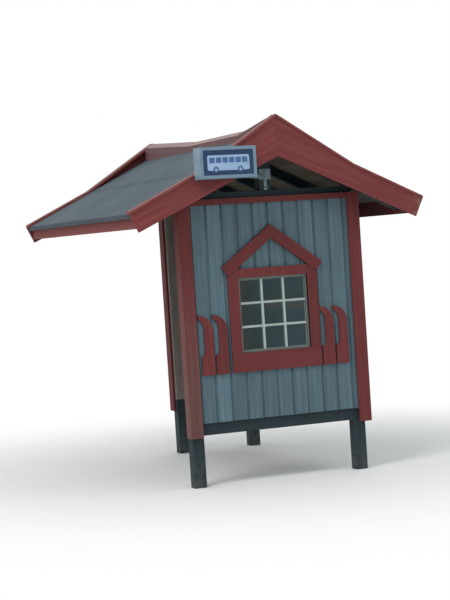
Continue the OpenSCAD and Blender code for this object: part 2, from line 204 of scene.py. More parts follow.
def timberColour(add, spec, streaks, lines, tone, knots):
    sunned = add("MapRange", soft, {0: streaks, **aging["fading"]})
    latewood = add("MapRange", soft, {0: lines, **aging["latewood"], 4: spec["grainDepth"]})
    ringed = add("Math", multiply, {0: knots, 1: spec["knots"]})
    colour = spec["body"]
    for amount, tint in ((sunned, "faded"), (latewood, "deep"), (ringed, "deep")):
        colour = add("Mix", coloured, {0: amount, 6: colour, 7: spec[tint]}, 2)
    darkest, palest = 1 - spec["spread"], 1 + spec["spread"]
    shade = add("MapRange", {}, {0: tone, 1: -1, 2: 1, 3: darkest, 4: palest})
    return add("HueSaturation", {}, {"Value": shade, "Color": colour})


def timberFinish(spec, upper=None, changeAt=0.0, changeOver=0.006):
    # upper is the finish over the height changeAt, where there are two
    constants = {"IOR": 1.5, "Specular IOR Level": spec["shine"]}
    material, add, skin, place = newMaterial(spec["name"], constants)
    grain = add("UVMap", {"uv_map": "grain"}, {}, "UV")
    tone, edge = (add("Attribute", {"attribute_name": name}, {}, "Fac") for name in ("tone", "edge"))
    height = add("SeparateXYZ", {}, {0: place}, 2)

    patterns = []
    for size in ("streakMm", "grainMm"):
        drawnOut = add("VectorMath", multiply, {0: grain, 1: perMetre(*spec[size])})
        fine = {"Vector": drawnOut, "Scale": 1, "Detail": 4, "Roughness": 0.6}
        patterns.append(add("TexNoise", {}, fine))
    streaks, lines = patterns

    cells = {"Vector": grain, "Scale": 1000 / aging["knotApartMm"]}
    nearKnot = add("TexVoronoi", {}, cells, "Distance")
    lot = add("SeparateColor", {}, {0: add("TexVoronoi", {}, cells, "Color")})
    held = add("MapRange", {}, {0: lot, **aging["knotHeld"]})
    disc = add("MapRange", soft, {0: nearKnot, **aging["knotDisc"]})
    knots = add("Math", multiply, {0: disc, 1: held})

    colour = timberColour(add, spec, streaks, lines, tone, knots)
    if upper:
        brushed = add("TexNoise", {}, blotches(place, aging["brushMm"], 2))
        uneven = {0: brushed, 1: aging["brushWaveMm"] / 1000, 2: height}
        wavy = add("Math", {"operation": "MULTIPLY_ADD"}, uneven)
        above = add("MapRange", soft, {0: wavy, 1: changeAt, 2: changeAt + changeOver})
        other = timberColour(add, upper, streaks, lines, tone, knots)
        colour = add("Mix", coloured, {0: above, 6: colour, 7: other}, 2)

    patches = add("TexNoise", {}, blotches(place, aging["chipMm"], 3))
    rubbed = add("MapRange", soft, {0: patches, **aging["chipping"], 4: spec["wear"]})
    chips = add("Math", multiply, {0: edge, 1: rubbed})
    facing = add("SeparateXYZ", {}, {0: add("NewGeometry", {}, {}, "Normal")}, 2)
    # Faces that look up turn towards the bare colour: partly sun bleaching, partly a painted highlight of the
    # sky on the tops.
    bleachedAndSkyLitTops = add("MapRange", soft, {0: facing, **aging["skyward"], 4: spec["bleachAndSkyHighlight"]})
    wet = add("MapRange", soft, {0: height, **aging["splashed"], 4: spec["splash"]})
    drops = add("TexNoise", {}, blotches(place, aging["dropMm"], 3))
    spots = add("MapRange", soft, {0: drops, **aging["dropping"]})
    soiled = add("Math", multiply, {0: wet, 1: spots})
    for amount, tint in ((chips, spec["bare"]), (bleachedAndSkyLitTops, spec["bare"]), (soiled, aging["soil"])):
        colour = add("Mix", coloured, {0: amount, 6: colour, 7: tint}, 2)

    change = add("MapRange", soft, {0: streaks, **aging["drying"]})
    dried = add("Math", {"operation": "ADD"}, {0: change, 1: spec["roughness"]})
    relief = lines
    if spec["sawMm"]:  # marks of the band saw across the grain; the node's own bands are pi / 10 apart
        waves = {"Vector": grain, "Scale": math.pi / 10 * 1000 / spec["sawMm"], "Distortion": 2, "Detail": 2}
        saw = add("TexWave", {}, waves)
        relief = add("Math", {"operation": "MULTIPLY_ADD"}, {0: saw, 1: aging["sawDepth"], 2: lines})
    bump = {"Strength": spec["bump"], "Distance": aging["reliefMm"] / 1000, "Height": relief}
    grained = add("Bump", {"invert": True}, bump)
    feed(skin, {"Base Color": colour, "Roughness": dried, "Normal": grained})
    return material


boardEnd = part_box("wall_near")[0].z  # the posts are stained up to where the wall boards start
redTimber = timberFinish(redPaint)
wallRedTimber = timberFinish(shadedPaint)
cornerRedTimber = timberFinish(dustyPaint, shadedPaint, 0.5, 1.3)
ridgeRedTimber = timberFinish(chalkedPaint)
boardTimber = timberFinish(boardPaint)
darkTimber = timberFinish(darkStain)
greyTimber = timberFinish(greyWood)
postTimber = timberFinish(dict(darkStain, name="rough-sawn pine with stained feet"), greyWood, boardEnd)
whiteTimber = timberFinish(whitePaint)
shadedSashTimber = timberFinish(shadedSashPaint)
brownTimber = timberFinish(brownBoards)
print("timber finishes made")


# Other finishes

# Mineral felt on a bitumen mat: matt slate grey with paler granules and soft, darker runs
# down the slope. The 1 mm granules are drawn 6 mm wide so that they show.
mineralFelt = {
    "name": "slate-grey mineral roofing felt",
    "body": "#4c575e", "cloud": "#555f66", "run": "#444e56", "granule": "#6d757b", "bitumen": "#2f3338",
    "cloudMm": 480, "clouding": {1: 0.35, 2: 0.65},
    "runMm": (900, 60), "washing": {1: 0.5, 2: 0.75, 4: 0.5},
    "granuleMm": 6, "glinting": {1: 0.54, 2: 0.7, 4: 0.5}, "reliefMm": 1.5,
}


def feltFinish(spec):
    constants = {"Roughness": 0.88, "IOR": 1.5, "Specular IOR Level": 0.2}
    material, add, skin, place = newMaterial(spec["name"], constants)
    grain = add("UVMap", {"uv_map": "grain"}, {}, "UV")
    cut = add("Attribute", {"attribute_name": "edge"}, {}, "Fac")
    granules = add("TexNoise", {}, blotches(place, spec["granuleMm"], 2))
    clouds = add("TexNoise", {}, blotches(place, spec["cloudMm"], 4))
    drawnOut = add("VectorMath", multiply, {0: grain, 1: perMetre(*spec["runMm"])})
    runs = add("TexNoise", {}, {"Vector": drawnOut, "Scale": 1, "Detail": 4})
    cloudy = add("MapRange", soft, {0: clouds, **spec["clouding"]})
    washed = add("MapRange", soft, {0: runs, **spec["washing"]})
    bright = add("MapRange", soft, {0: granules, **spec["glinting"]})
    colour = spec["body"]
    # The darkest tint falls on the eave's lip as painted shade, and on the lap row as bare mat with painted
    # shade.
    for amount, tint in ((cloudy, "cloud"), (washed, "run"), (bright, "granule"), (cut, "bitumen")):
        colour = add("Mix", coloured, {0: amount, 6: colour, 7: spec[tint]}, 2)
    bump = {"Strength": 0.5, "Distance": spec["reliefMm"] / 1000, "Height": granules}
    feed(skin, {"Base Color": colour, "Normal": add("Bump", {}, bump)})
    return material


# Float glass, thin and faintly green, with a film of dust: dark against the unlit room.
dustyGlass = {
    "name": "dusty float glass", "tint": "#97aaa8", "shine": "#c4d8dc",
    "dustMm": 130, "dulling": {1: 0.35, 2: 0.7, 3: 0.02, 4: 0.16},
}


def glassFinish(spec):
    constants = {
        "Base Color": spec["tint"], "Specular Tint": spec["shine"], "IOR": 1.46, "Transmission Weight": 1.0,
    }
    material, add, skin, place = newMaterial(spec["name"], constants)
    dust = add("TexNoise", {}, blotches(place, spec["dustMm"], 4))
    feed(skin, {"Roughness": add("MapRange", soft, {0: dust, **spec["dulling"]})})
    lampRay = add("LightPath", {}, {}, "Is Shadow Ray")
    clear = add("BsdfTransparent", {}, {"Color": spec["tint"]})
    surface = add("MixShader", {}, {0: lampRay, 1: skin.outputs[0], 2: clear})
    feed(material.node_tree.nodes["Material Output"], {"Surface": surface})
    return material


# Powder coat, enamel and vinyl on sheet steel: even and hard, a light gloss under a film of grime.
# The coat's 2 mm orange peel is drawn 6 mm wide so that it shows.
# The case's coat is white; it is drawn as a darker blue-grey, which is painted shade.
caseCoat = {"name": "white powder coat in painted shade", "body": "#6a8294", "grime": "#5a717d", "roughness": 0.38}
signEnamel = {"name": "blue sign enamel", "body": "#122f52", "grime": "#203d5a", "roughness": 0.3}
signVinyl = {"name": "pale blue sign vinyl", "body": "#8fa8c4", "grime": "#7a95b0", "roughness": 0.4}
windowVinyl = {"name": "mid-blue sign vinyl", "body": "#405a8c", "grime": "#496489", "roughness": 0.4}
armCoat = {"name": "grey powder coat on steel tube", "body": "#73848b", "grime": "#5b6c71", "roughness": 0.42}
sheetWear = {
    "filmMm": 90, "grime": {1: 0.42, 2: 0.75, 4: 0.6},
    "dulling": {1: 0.3, 2: 0.7, 3: -0.05, 4: 0.12},  # change of roughness
    "peelMm": 6, "peelDepthMm": 0.4,
}


def sheetFinish(spec):
    constants = {"IOR": 1.5, "Specular IOR Level": 0.3, "Coat Weight": 0.08, "Coat Roughness": 0.25}
    material, add, skin, place = newMaterial(spec["name"], constants)
    film = add("TexNoise", {}, blotches(place, sheetWear["filmMm"], 5))
    grimy = add("MapRange", soft, {0: film, **sheetWear["grime"]})
    colour = add("Mix", coloured, {0: grimy, 6: spec["body"], 7: spec["grime"]}, 2)
    change = add("MapRange", soft, {0: film, **sheetWear["dulling"]})
    dulled = add("Math", {"operation": "ADD"}, {0: change, 1: spec["roughness"]})
    peel = add("TexNoise", {}, blotches(place, sheetWear["peelMm"], 1))
    bump = {"Strength": 0.08, "Distance": sheetWear["peelDepthMm"] / 1000, "Height": peel}
    feed(skin, {"Base Color": colour, "Roughness": dulled, "Normal": add("Bump", {}, bump)})
    return material


# Hot-dip zinc on steel nails, screws and bolts: dull grey metal, its spangle in two greys.
zincCoat = {
    "name": "hot-dip zinc on steel", "bright": "#868b8c", "dull": "#63696b",
    "spangleMm": 4, "sheen": {3: 0.42, 4: 0.6},
}


def zincFinish(spec):
    material, add, skin, place = newMaterial(spec["name"], {"Metallic": 1.0})
    crystals = add("TexVoronoi", {}, {"Vector": place, "Scale": 1000 / spec["spangleMm"]}, "Color")
    share = add("SeparateColor", {}, {0: crystals})
    colour = add("Mix", coloured, {0: share, 6: spec["bright"], 7: spec["dull"]}, 2)
    feed(skin, {"Base Color": colour, "Roughness": add("MapRange", {}, {0: share, **spec["sheen"]})})
    return material


felting = feltFinish(mineralFelt)
glazing = glassFinish(dustyGlass)
shadedCaseCoat = sheetFinish(caseCoat)
blueEnamel = sheetFinish(signEnamel)
paleVinyl = sheetFinish(signVinyl)
midVinyl = sheetFinish(windowVinyl)
greyCoat = sheetFinish(armCoat)
zinc = zincFinish(zincCoat)
print("other finishes made")


# Meshes

def newObject(name, data):
    made = bpy.data.objects.new(name, data)
    bpy.context.scene.collection.objects.link(made)
    return made


def looseSolids(mesh):  # each closed solid of a node as clean faces of its own
    whole = bmesh.new()
    whole.from_mesh(mesh)
    bmesh.ops.remove_doubles(whole, verts=whole.verts, dist=1e-5)
    flat = math.radians(1)
    bmesh.ops.dissolve_limit(whole, angle_limit=flat, verts=whole.verts, edges=whole.edges)
    whole.verts.index_update()
    groups, taken = [], set()
    for seed in whole.verts:
        group, front = [], [seed]
        while front:
            vert = front.pop()
            if vert not in taken:
                taken.add(vert)
                group.append(vert)
                front += [edge.other_vert(vert) for edge in vert.link_edges]
        if group:
            groups.append(group)
    # sorted by place, so that each solid draws the same tone in every run
    groups.sort(key=lambda group: min([round(c, 4) for c in vert.co] for vert in group))
    solids = []
    for group in groups:
        solid = whole.copy()
        kept = {vert.index for vert in group}
        bmesh.ops.delete(solid, geom=[v for v in solid.verts if v.index not in kept], context="VERTS")
        solids.append(solid)
    whole.free()
    return solids


def cutAt(solid, point, normal):  # a closed solid's two sides of a plane, each closed again
    sides = []
    for keepFront in (False, True):
        side = solid.copy()
        cut = bmesh.ops.bisect_plane(
            side, geom=side.verts[:] + side.edges[:] + side.faces[:], dist=1e-6,
            plane_co=point, plane_no=normal, clear_outer=not keepFront, clear_inner=keepFront,
        )
        rim = [e for e in cut["geom_cut"] if isinstance(e, bmesh.types.BMEdge) and e.is_boundary]
        if rim and side.faces:
            bmesh.ops.edgeloop_fill(side, edges=rim)
        if side.faces:
            sides.append(side)
        else:
            side.free()
    solid.free()
    return sides


def cutAll(solids, cuts):
    for point, normal in cuts:
        solids = [side for solid in solids for side in cutAt(solid, point, normal)]
    return solids


def prism(points, reach):  # a flat outline drawn out into a closed solid
    solid = bmesh.new()
    face = solid.faces.new([solid.verts.new(point) for point in points])
    made = bmesh.ops.extrude_face_region(solid, geom=[face])["geom"]
    bmesh.ops.translate(solid, verts=[g for g in made if isinstance(g, bmesh.types.BMVert)], vec=reach)
    bmesh.ops.recalc_face_normals(solid, faces=solid.faces)
    return solid


def roundEdges(solid, widthMm):  # worn edges, marked so that the finish can wear there
    edge = solid.faces.layers.float.new("edge")
    bmesh.ops.recalc_face_normals(solid, faces=solid.faces)
    sharp = math.radians(25)
    corners = [e for e in solid.edges if len(e.link_faces) == 2 and e.calc_face_angle(0) > sharp]
    made = bmesh.ops.bevel(
        solid, geom=corners, offset=widthMm / 1000, segments=2, profile=0.5,
        affect="EDGES", clamp_overlap=True,
    )
    for face in made["faces"]:
        face[edge] = 1


def longestEdge(solid):
    edge = max(solid.edges, key=lambda e: round(e.calc_length(), 5))
    along = (edge.verts[1].co - edge.verts[0].co).normalized()
    return -along if max(along, key=abs) < 0 else along


def mapGrain(solid, grain, tone):  # lays the timber's grain along it, from its own place in the log
    uv = solid.loops.layers.uv.verify()
    toneLayer = solid.faces.layers.float.new("tone")
    logLength, nearlyAlong, ringStretch = 30, 0.4, 30  # metres, sine of the angle to the grain, and times
    shift = Vector([random.uniform(0, logLength) for axis in range(2)])
    for face in solid.faces:
        face[toneLayer] = tone
        across = face.normal.cross(grain)
        endGrain = across.length < nearlyAlong
        across = grain.orthogonal().normalized() if endGrain else across.normalized()
        down = across.cross(grain) * ringStretch if endGrain else grain
        for loop in face.loops:
            loop[uv].uv = shift + Vector((loop.vert.co.dot(down), loop.vert.co.dot(across)))
        face.smooth = True


def joinSolids(name, solids, material):  # one piece from its solids
    joined = bmesh.new()
    joined.loops.layers.uv.new("grain")
    for layer in ("tone", "edge"):
        joined.faces.layers.float.new(layer)
    for solid in solids:
        single = bpy.data.meshes.new("single")
        solid.to_mesh(single)
        if single.uv_layers:
            single.uv_layers[0].name = "grain"
        joined.from_mesh(single)
        solid.free()
        bpy.data.meshes.remove(single)
    mesh = bpy.data.meshes.new(name)
    joined.to_mesh(mesh)
    joined.free()
    mesh.materials.append(material)
    return newObject(name, mesh)


def settle(piece, slotName, *replaced):
    flat = piece.modifiers.new("even shading", "WEIGHTED_NORMAL")
    flat.keep_sharp = True
    flat.weight = 100
    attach(piece, "root")
    if replaced:
        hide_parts(*replaced)
    return piece


def wearLowEnd(solid, grain, lengthMm):  # a sloped board's paint wears off towards its lower end
    edge = solid.faces.layers.float["edge"]
    down = -grain if grain.z > 0 else grain
    length = lengthMm / 1000
    start = max(vert.co.dot(down) for vert in solid.verts) - length
    for share in (0, 0.2, 0.4, 0.6, 0.8):  # cut in strips, so that the wear can grow from one to the next
        bmesh.ops.bisect_plane(
            solid, geom=solid.verts[:] + solid.edges[:] + solid.faces[:],
            plane_co=down * (start + share * length), plane_no=down,
        )
    for face in solid.faces:
        past = (face.calc_center_median().dot(down) - start) / length
        face[edge] = max(face[edge], min(3 * past, 2))  # as bare as an edge a third of the way on


def dressPart(node, material, slotName, cuts=(), edgeMm=2.5, wornMm=0, wood=True):
    solids = cutAll(looseSolids(nodes[node].data), cuts)
    for solid in solids:
        grain = longestEdge(solid)
        roundEdges(solid, edgeMm)
        mapGrain(solid, grain, random.uniform(-1, 1) if wood else 0)
        if wornMm:
            wearLowEnd(solid, grain, wornMm)
    return settle(joinSolids(node + "_finished", solids, material), slotName, node)


# Frame

framing = {
    "posts": ("post_near_front", "post_near_back", "post_far_back", "post_far_middle"),
    # The sills' dark stain is their own; the ties, plates, king posts, ridge beam and rafters take the same
    # dark stain as painted shade under the roof.
    "stained": ("sill_near", "sill_back", "sill_far", "tie_near", "tie_far", "plate_front", "plate_back",
                "king_posts", "ridge_beam", "rafters"),
    "edgeMm": 4, "innerEdgeMm": 3,
}
windowLow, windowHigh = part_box("window_frame")
framingCuts = [(Vector((x, 0, 0)), acrossX) for x in (windowLow.x, windowHigh.x)]


def dressFrame():
    for names, finish in ((framing["posts"], postTimber), (framing["stained"], darkTimber)):
        for name in names:
            dressPart(name, finish, "frame_timber", edgeMm=framing["edgeMm"])
    dressPart("wall_rails", greyTimber, "frame_timber", edgeMm=framing["innerEdgeMm"])
    dressPart("window_framing", greyTimber, "frame_timber", framingCuts, framing["innerEdgeMm"])


dressFrame()
print("frame dressed")


# Wall boards

boarding = {
    "pitchMm": 126,  # from groove to groove
    "grooveMm": 18,
    "grooveDepthMm": 9,
    "nickMm": 2.5, "innerNickMm": 5,  # chamfers of the boards' outer and inner edges
    "narrowestMm": 27,  # a narrower strip at a wall's end is left out
    "firstGrooveMm": -8,  # place of one groove of the near wall, from under the ridge
    "unevenMm": 2.0,  # how far board ends differ
}


def inHole(solid, hole):
    middle = sum((v.co for v in solid.verts), Vector()) / len(solid.verts)
    return hole[0] < middle.x < hole[1] and hole[2] < middle.z < hole[3]


def boardWall(name, node, place, grooveFrom, hole=None):
    # place turns (along the wall, depth from its outer face, height) into the frame's space
    low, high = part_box(node)
    turned = [place.inverted() @ Vector((x, y, 0)) for x in (low.x, high.x) for y in (low.y, high.y)]
    first, last = min(c.x for c in turned), max(c.x for c in turned)
    thick = max(c.y for c in turned) - min(c.y for c in turned)
    pitch, half = boarding["pitchMm"] / 1000, boarding["grooveMm"] / 2000
    deep, nick, inner = (boarding[k] / 1000 for k in ("grooveDepthMm", "nickMm", "innerNickMm"))
    startEdge, endEdge = 0.0, -1e-9
    outline = [  # across and depth, with across from a board's start, or from its end where it's below 0
        (half + nick, 0), (-half - nick, 0), (-half, nick), (-half, deep), (endEdge, deep),
        (endEdge, thick - inner), (-inner, thick), (inner, thick), (startEdge, thick - inner),
        (startEdge, deep), (half, deep), (half, nick),
    ]
    solids = []
    start = grooveFrom + math.floor((first - grooveFrom) / pitch) * pitch
    while start < last - 1e-6:
        begin, end = max(start, first), min(start + pitch, last)
        if end - begin > boarding["narrowestMm"] / 1000:
            foot = low.z + random.uniform(0, boarding["unevenMm"]) / 1000
            points = [(begin + u if u >= 0 else end + u, d, foot) for u, d in outline]
            board = [prism(points, (0, 0, high.z - foot))]
            if hole:
                cuts = [(Vector((x, 0, 0)), acrossX) for x in hole[:2] if begin < x < end]
                cuts += [(Vector((0, 0, z)), upZ) for z in hole[2:]]
                board = [part for part in cutAll(board, cuts) if not inHole(part, hole)]
            tone = random.uniform(-1, 1)
            state = random.getstate()
            for part in board:
                random.setstate(state)  # parts of one board share their grain
                part.faces.layers.float.new("edge")
                mapGrain(part, upZ, tone)
                part.transform(place)
                bmesh.ops.recalc_face_normals(part, faces=part.faces)
            solids += board
        start += pitch
    return settle(joinSolids(name, solids, boardTimber), "wall_boards", node)


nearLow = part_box("wall_near")[0]
backLow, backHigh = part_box("wall_back")
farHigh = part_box("wall_far")[1]
grooveStart = {"near": boarding["firstGrooveMm"] / 1000, "back": backLow.y, "far": -farHigh.x}


def boardWalls():
    nearPlace = Matrix(((1, 0, 0, 0), (0, 1, 0, nearLow.y), (0, 0, 1, 0), (0, 0, 0, 1)))
    backPlace = Matrix(((0, -1, 0, backHigh.x), (1, 0, 0, 0), (0, 0, 1, 0), (0, 0, 0, 1)))
    farPlace = Matrix(((-1, 0, 0, 0), (0, -1, 0, farHigh.y), (0, 0, 1, 0), (0, 0, 0, 1)))
    windowHole = (windowLow.x, windowHigh.x, windowLow.z, windowHigh.z)
    boardWall("near_wall_boards", "wall_near", nearPlace, grooveStart["near"], windowHole)
    boardWall("back_wall_boards", "wall_back", backPlace, grooveStart["back"])
    boardWall("far_wall_boards", "wall_far", farPlace, grooveStart["far"])


boardWalls()
print("walls boarded")


# Trim

trim = {
    "boardMm": 20,
    "rakes": ("bargeboard_near_front", "bargeboard_near_back", "bargeboard_far_front", "bargeboard_far_back"),
    "fascias": ("fascia_front", "fascia_back"),
    "caps": ("verge_cap_near", "verge_cap_far"),
    "onWalls": ("top_bands", "window_band", "pickets"),
    "wornMm": {"bargeboard_near_back": 90},  # how far up from its lower end a rake's paint is worn
    "nearSweepMm": 500,  # length of the ridge boards' upswept ends
    "farSweepMm": 1100,
}


def dressTrim():
    thick = trim["boardMm"] / 1000
    mitre = [(Vector(), acrossX)]  # two boards that meet under the ridge
    for name, paint in (("corner_near_front", cornerRedTimber), ("corner_near_back", wallRedTimber)):
        dressPart(name, paint, "trim_paint", [(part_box(name)[0] + thick * alongY, alongY)])
    for name in ("corner_far_back", "corner_far_middle"):
        dressPart(name, wallRedTimber, "trim_paint", [(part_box(name)[1] - thick * alongY, alongY)])
    for name in trim["rakes"]:
        dressPart(name, redTimber, "trim_paint", wornMm=trim["wornMm"].get(name, 0))
    for names, paint, cuts in (
        (trim["fascias"], redTimber, ()), (trim["caps"], redTimber, mitre),
        (trim["onWalls"], wallRedTimber, ()), (["window_hood"], wallRedTimber, mitre),
        (["window_casing"], wallRedTimber, framingCuts),
    ):
        for name in names:
            dressPart(name, paint, "trim_paint", cuts)
    ridgeLow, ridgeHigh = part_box("ridge_boards")
    sweeps = (ridgeLow.y + trim["nearSweepMm"] / 1000, ridgeHigh.y - trim["farSweepMm"] / 1000)
    cuts = mitre + [(Vector((0, y, 0)), alongY) for y in sweeps]
    dressPart("ridge_boards", ridgeRedTimber, "trim_paint", cuts)


dressTrim()
print("trim dressed")


# Roof

roofing = {
    "boardPitchMm": 121,
    "courseMm": 560,  # from the eave up to the lower edge of the upper course
    "lapMm": 80,
    "feltMm": 2.6,
    "lapDropMm": 1.6,  # how far the lower course lies under the upper one
    "waveMm": 1.2, "wavesAcross": 7, "wavesAlong": 5,
    "lipMm": 36, "lipShortMm": 2, "lipShade": 0.5, "lapWearAndShade": 0.18,  # painted shade on the eave's turned-down lip, and bare mat with painted shade at the lap
    "rows": 14, "lipRows": 3, "columns": 56,
}
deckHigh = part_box("roof_boards_back")[1]
feltLow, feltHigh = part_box("felt")
slope = math.atan2(feltHigh.z - feltLow.z - roofing["lipMm"] / 1000, feltHigh.x)
lapX = feltHigh.x - roofing["courseMm"] / 1000


def layRoofBoards():
    for name, side in (("roof_boards_back", 1), ("roof_boards_front", -1)):
        downhill = Vector((side * math.cos(slope), 0, -math.sin(slope)))
        reach = deckHigh.x / math.cos(slope)
        count = int(reach / (roofing["boardPitchMm"] / 1000)) + 1
        top = Vector((0, 0, deckHigh.z))
        cuts = [(top + downhill * i * reach / count, downhill) for i in range(1, count)]
        dressPart(name, brownTimber, "roof_boards", cuts, edgeMm=2)


def feltCourse(side, fromX, toX, lift, lip):  # a strip of felt along the roof, slightly wavy
    solid = bmesh.new()
    edge = solid.faces.layers.float.new("edge")
    drop = math.tan(slope)
    wave = roofing["waveMm"] / 2000
    rows, lipRows, columns = roofing["rows"], roofing["lipRows"], roofing["columns"]
    across = [fromX + (toX - fromX) * i / rows for i in range(rows + 1)]
    profile = [(x, feltHigh.z - x * drop) for x in across]
    if lip:
        profile += [(toX, feltHigh.z - toX * drop - lip * (k + 1) / lipRows) for k in range(lipRows)]
    grid = []
    for j in range(columns + 1):
        y = feltLow.y + (feltHigh.y - feltLow.y) * j / columns
        line = []
        for x, z in profile:
            spot = (x * roofing["wavesAcross"] * side, y * roofing["wavesAlong"], 0.3 + side)
            rise = (noise.noise(Vector(spot)) - 1) * wave - lift
            line.append(solid.verts.new((side * (x - 0.0002), y, z + rise)))  # 0.2 mm inside the edge
        grid.append(line)
    for j in range(columns):
        for i in range(len(profile) - 1):
            face = solid.faces.new((grid[j][i], grid[j + 1][i], grid[j + 1][i + 1], grid[j][i + 1]))
            if lip and i >= rows:
                face[edge] = roofing["lipShade"]
            elif not lip and i == rows - 1:
                face[edge] = roofing["lapWearAndShade"]
    mapGrain(solid, Vector((math.cos(slope) * side, 0, -math.sin(slope))), 0)
    return solid


def layFelt():
    lap, lapDrop = roofing["lapMm"] / 1000, roofing["lapDropMm"] / 1000
    lip = (roofing["lipMm"] - roofing["lipShortMm"]) / 1000
    for side, name in ((1, "felt_back_slope"), (-1, "felt_front_slope")):
        lower = feltCourse(side, lapX - lap, feltHigh.x, lapDrop, lip)
        upper = feltCourse(side, 0.0, lapX, 0.0, 0)
        piece = joinSolids(name, [lower, upper], felting)
        thick = piece.modifiers.new("felt thickness", "SOLIDIFY")
        thick.thickness = roofing["feltMm"] / 1000
        thick.offset = -1 if side > 0 else 1
        settle(piece, "roofing_felt", "felt")


layRoofBoards()
layFelt()
print("roof laid")


# Window

window = {
    "barMm": 18, "barEdgeMm": 3,
    "sashMm": 15, "sashEdgeMm": 1.5,
    "puttyMm": 7,
    "panes": 3,  # across and up
    "setBackMm": 3,  # from the sash's faces to the bars
    "crossBackMm": 0.6,  # how far the level bars lie behind the upright ones
}


def barSolid(low, high, edgeMm):  # a bar with its corners taken off
    solid = bmesh.new()
    bmesh.ops.create_cube(solid, size=1)
    for vert in solid.verts:
        vert.co = Vector([low[i] + (high[i] - low[i]) * (vert.co[i] + 0.5) for i in range(3)])
    roundEdges(solid, edgeMm)
    mapGrain(solid, longestEdge(solid), random.uniform(-1, 1))
    return solid


def puttySolid(x0, z0, x1, z1, front, back, wide):  # a sloped bead round the pane, mitred at its corners
    solid = bmesh.new()
    loops = []
    for inset, y in ((0, front), (0, back), (wide, back)):
        left, right, low, high = x0 + inset, x1 - inset, z0 + inset, z1 - inset
        corners = ((left, low), (right, low), (right, high), (left, high))
        loops.append([solid.verts.new((x, y, z)) for x, z in corners])
    for first, second in ((0, 1), (1, 2), (2, 0)):
        for k in range(4):
            after = (k + 1) % 4
            solid.faces.new((loops[first][k], loops[first][after], loops[second][after], loops[second][k]))
    bmesh.ops.recalc_face_normals(solid, faces=solid.faces)
    solid.faces.layers.float.new("edge")
    mapGrain(solid, acrossX, 0)
    return solid


def makeWindow():
    dressPart("window_frame", shadedSashTimber, "window_paint", edgeMm=window["sashEdgeMm"])
    glassLow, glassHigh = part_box("window_glass")
    sash, wide, bead = (window[k] / 1000 for k in ("sashMm", "barMm", "puttyMm"))
    setBack, crossBack = window["setBackMm"] / 1000, window["crossBackMm"] / 1000
    x0, x1 = windowLow.x + sash, windowHigh.x - sash
    z0, z1 = windowLow.z + sash, windowHigh.z - sash
    solids = []
    for front, back in ((windowLow.y + setBack, glassLow.y), (glassHigh.y, windowHigh.y - setBack)):
        for k in range(1, window["panes"]):
            x = x0 + (x1 - x0) * k / window["panes"]
            z = z0 + (z1 - z0) * k / window["panes"]
            upright = ((x - wide / 2, front, z0), (x + wide / 2, back, z1))
            level = ((x0, front + crossBack, z - wide / 2), (x1, back, z + wide / 2))
            solids += [barSolid(*corners, window["barEdgeMm"]) for corners in (upright, level)]
    settle(joinSolids("window_bars", solids, whiteTimber), "window_paint")
    putty = puttySolid(x0, z0, x1, z1, glassLow.y - bead, glassLow.y, bead)
    settle(joinSolids("window_putty", [putty], shadedSashTimber), "window_paint")
    nodes["window_glass"].data.materials.clear()
    nodes["window_glass"].data.materials.append(glazing)


makeWindow()
print("window glazed")


# Sign

sign = {
    "rimMm": 24,
    "raiseMm": 0.6,  # how far the vinyl stands on the face
    "layerMm": 0.4,  # and how far each layer stands on the one beneath
    "busLong": 0.84, "busHigh": 0.70,  # shares of the blue field's width and height
    "busLowMm": 10,  # how far the bus sits under the field's middle
    "foot": 0.13, "round": 0.12,  # shares of the bus's height or length from here on
    "windows": 6, "rowFrom": 0.035, "rowLong": 0.93, "windowGap": 0.09, "windowSpan": (0.56, 0.87),
    "windowRoundMm": 4,
    "wheelsAt": (0.2, 0.78), "wheel": 0.17, "wheelFoot": 0.02, "hubFoot": 0.095,
    "hub": 0.45, "hubRound": 0.449, "wheelRound": 0.999,  # shares of the wheel
}


def roundedShape(x0, z0, x1, z1, radius, y0, y1):  # a flat shape with round corners that faces the road
    left, right, low, high = x0 + radius, x1 - radius, z0 + radius, z1 - radius
    points = []
    for cx, cz, turn in ((right, high, 0), (left, high, 90), (left, low, 180), (right, low, 270)):
        for k in range(7):
            angle = math.radians(turn + 15 * k)
            points.append((cx + radius * math.cos(angle), y0, cz + radius * math.sin(angle)))
    solid = prism(points, (0, y1 - y0, 0))
    mapGrain(solid, acrossX, 0)
    return solid


